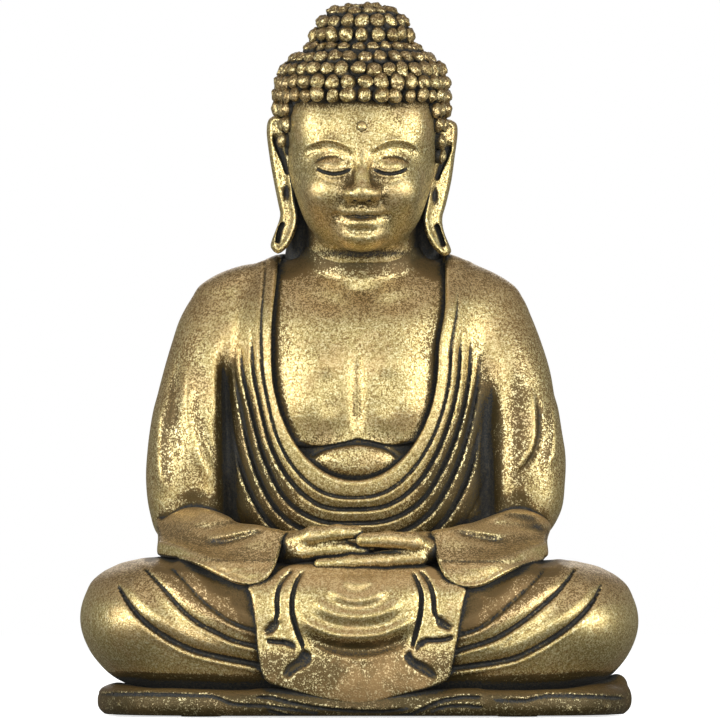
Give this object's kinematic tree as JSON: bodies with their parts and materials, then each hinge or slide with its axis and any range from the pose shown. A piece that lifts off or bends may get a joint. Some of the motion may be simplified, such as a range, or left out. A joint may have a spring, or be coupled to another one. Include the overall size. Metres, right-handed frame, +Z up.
{
  "type": "buddha statue",
  "caption": "Seated meditating Buddha figure in antique gold resin, hands in the lap and legs crossed, on a thin rounded mat base.",
  "frame": {"origin": "on the floor under the middle of the statue's bounding box", "axes": "+Z up, the figure faces -Y, and its own left hand is on the +X side"},
  "size_m": [0.3088, 0.2104, 0.3998],
  "materials": {
    "gilt_resin": "antique gold paint rubbed over a black wash, satin",
    "base_board": "fibreboard stained black, matt",
    "felt": "black felt",
    "screw_steel": "zinc plated",
    "beech": "bare beech dowel",
    "pin_brass": "bare wire"
  },
  "bodies": {
    "root": {"base_slab": "gilt_resin", "base_board": "base_board", "base_screws": "screw_steel", "felt_pads": "felt", "leg_shell": "gilt_resin", "lap_drape": "gilt_resin", "torso_shell": "gilt_resin", "torso_dowels": "beech", "chest_bust": "gilt_resin", "right_sleeve": "gilt_resin", "left_sleeve": "gilt_resin", "sleeve_dowels": "beech", "right_hand": "gilt_resin", "left_hand": "gilt_resin", "hand_pins": "pin_brass", "head_shell": "gilt_resin", "neck_dowel": "beech", "hair_cap": "gilt_resin", "hair_curls": "gilt_resin", "ushnisha": "gilt_resin", "ushnisha_curls": "gilt_resin", "urna": "gilt_resin", "right_ear": "gilt_resin", "left_ear": "gilt_resin", "ear_pins": "pin_brass"}
  },
  "joints": []
}
